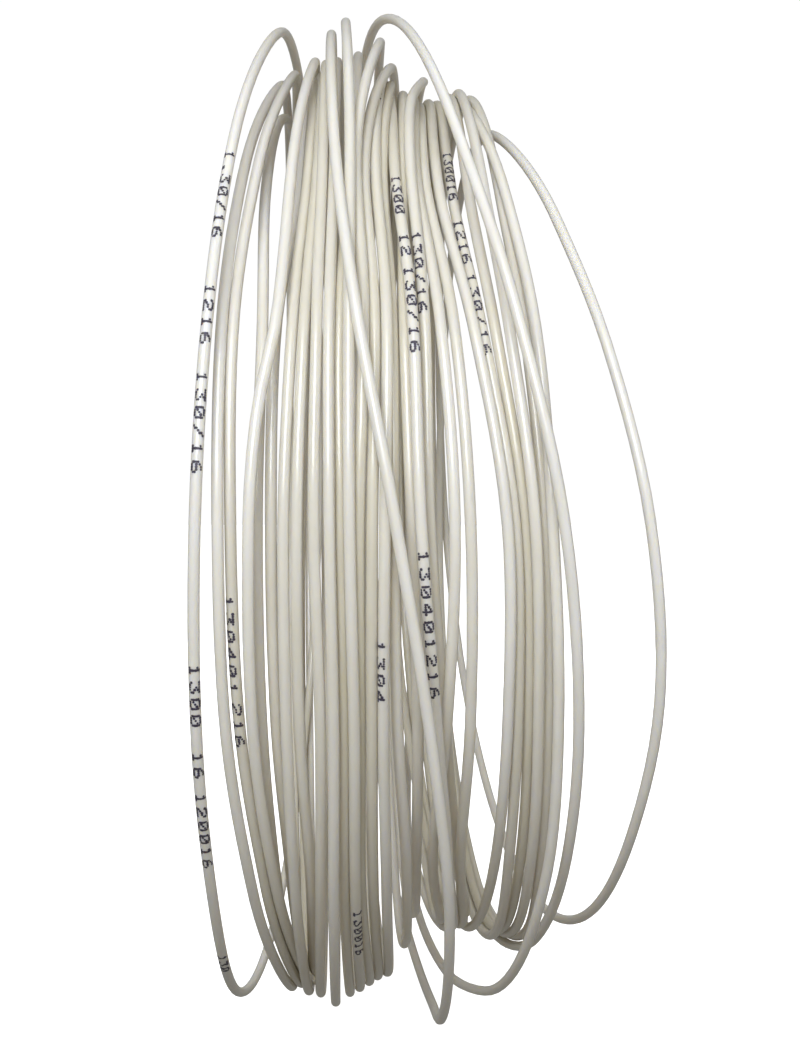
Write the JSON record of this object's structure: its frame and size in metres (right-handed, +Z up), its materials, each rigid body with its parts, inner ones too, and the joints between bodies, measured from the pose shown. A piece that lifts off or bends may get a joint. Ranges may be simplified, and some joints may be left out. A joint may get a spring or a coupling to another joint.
{
  "type": "racket string coil",
  "caption": "Loose round coil of pale racket string standing on its rim, with turns that stand clear at both sides and in front.",
  "frame": {"origin": "middle of the coil's bounding box, at the height of the surface that it stands on", "axes": "+X along the coil's axis, from the wide fan of turns towards the turn that stands out furthest; +Z up; the side seen in front faces -Y"},
  "size_m": [0.0536, 0.1416, 0.1405],
  "materials": {
    "string": "pearl white translucent nylon, satin gloss",
    "string_end": "pearl white nylon, plain cut end"
  },
  "bodies": {
    "root": {"coil_left_turns": "string", "coil_right_turns": "string", "loose_turn_left": "string", "loose_turn_front": "string", "loose_turn_high": "string", "loose_turn_right": "string", "loose_turn_low": "string", "loose_turn_tall": "string", "loose_turn_inner": "string", "loose_turn_middle": "string", "string_end_outer": "string_end", "string_end_inner": "string_end"}
  },
  "joints": []
}
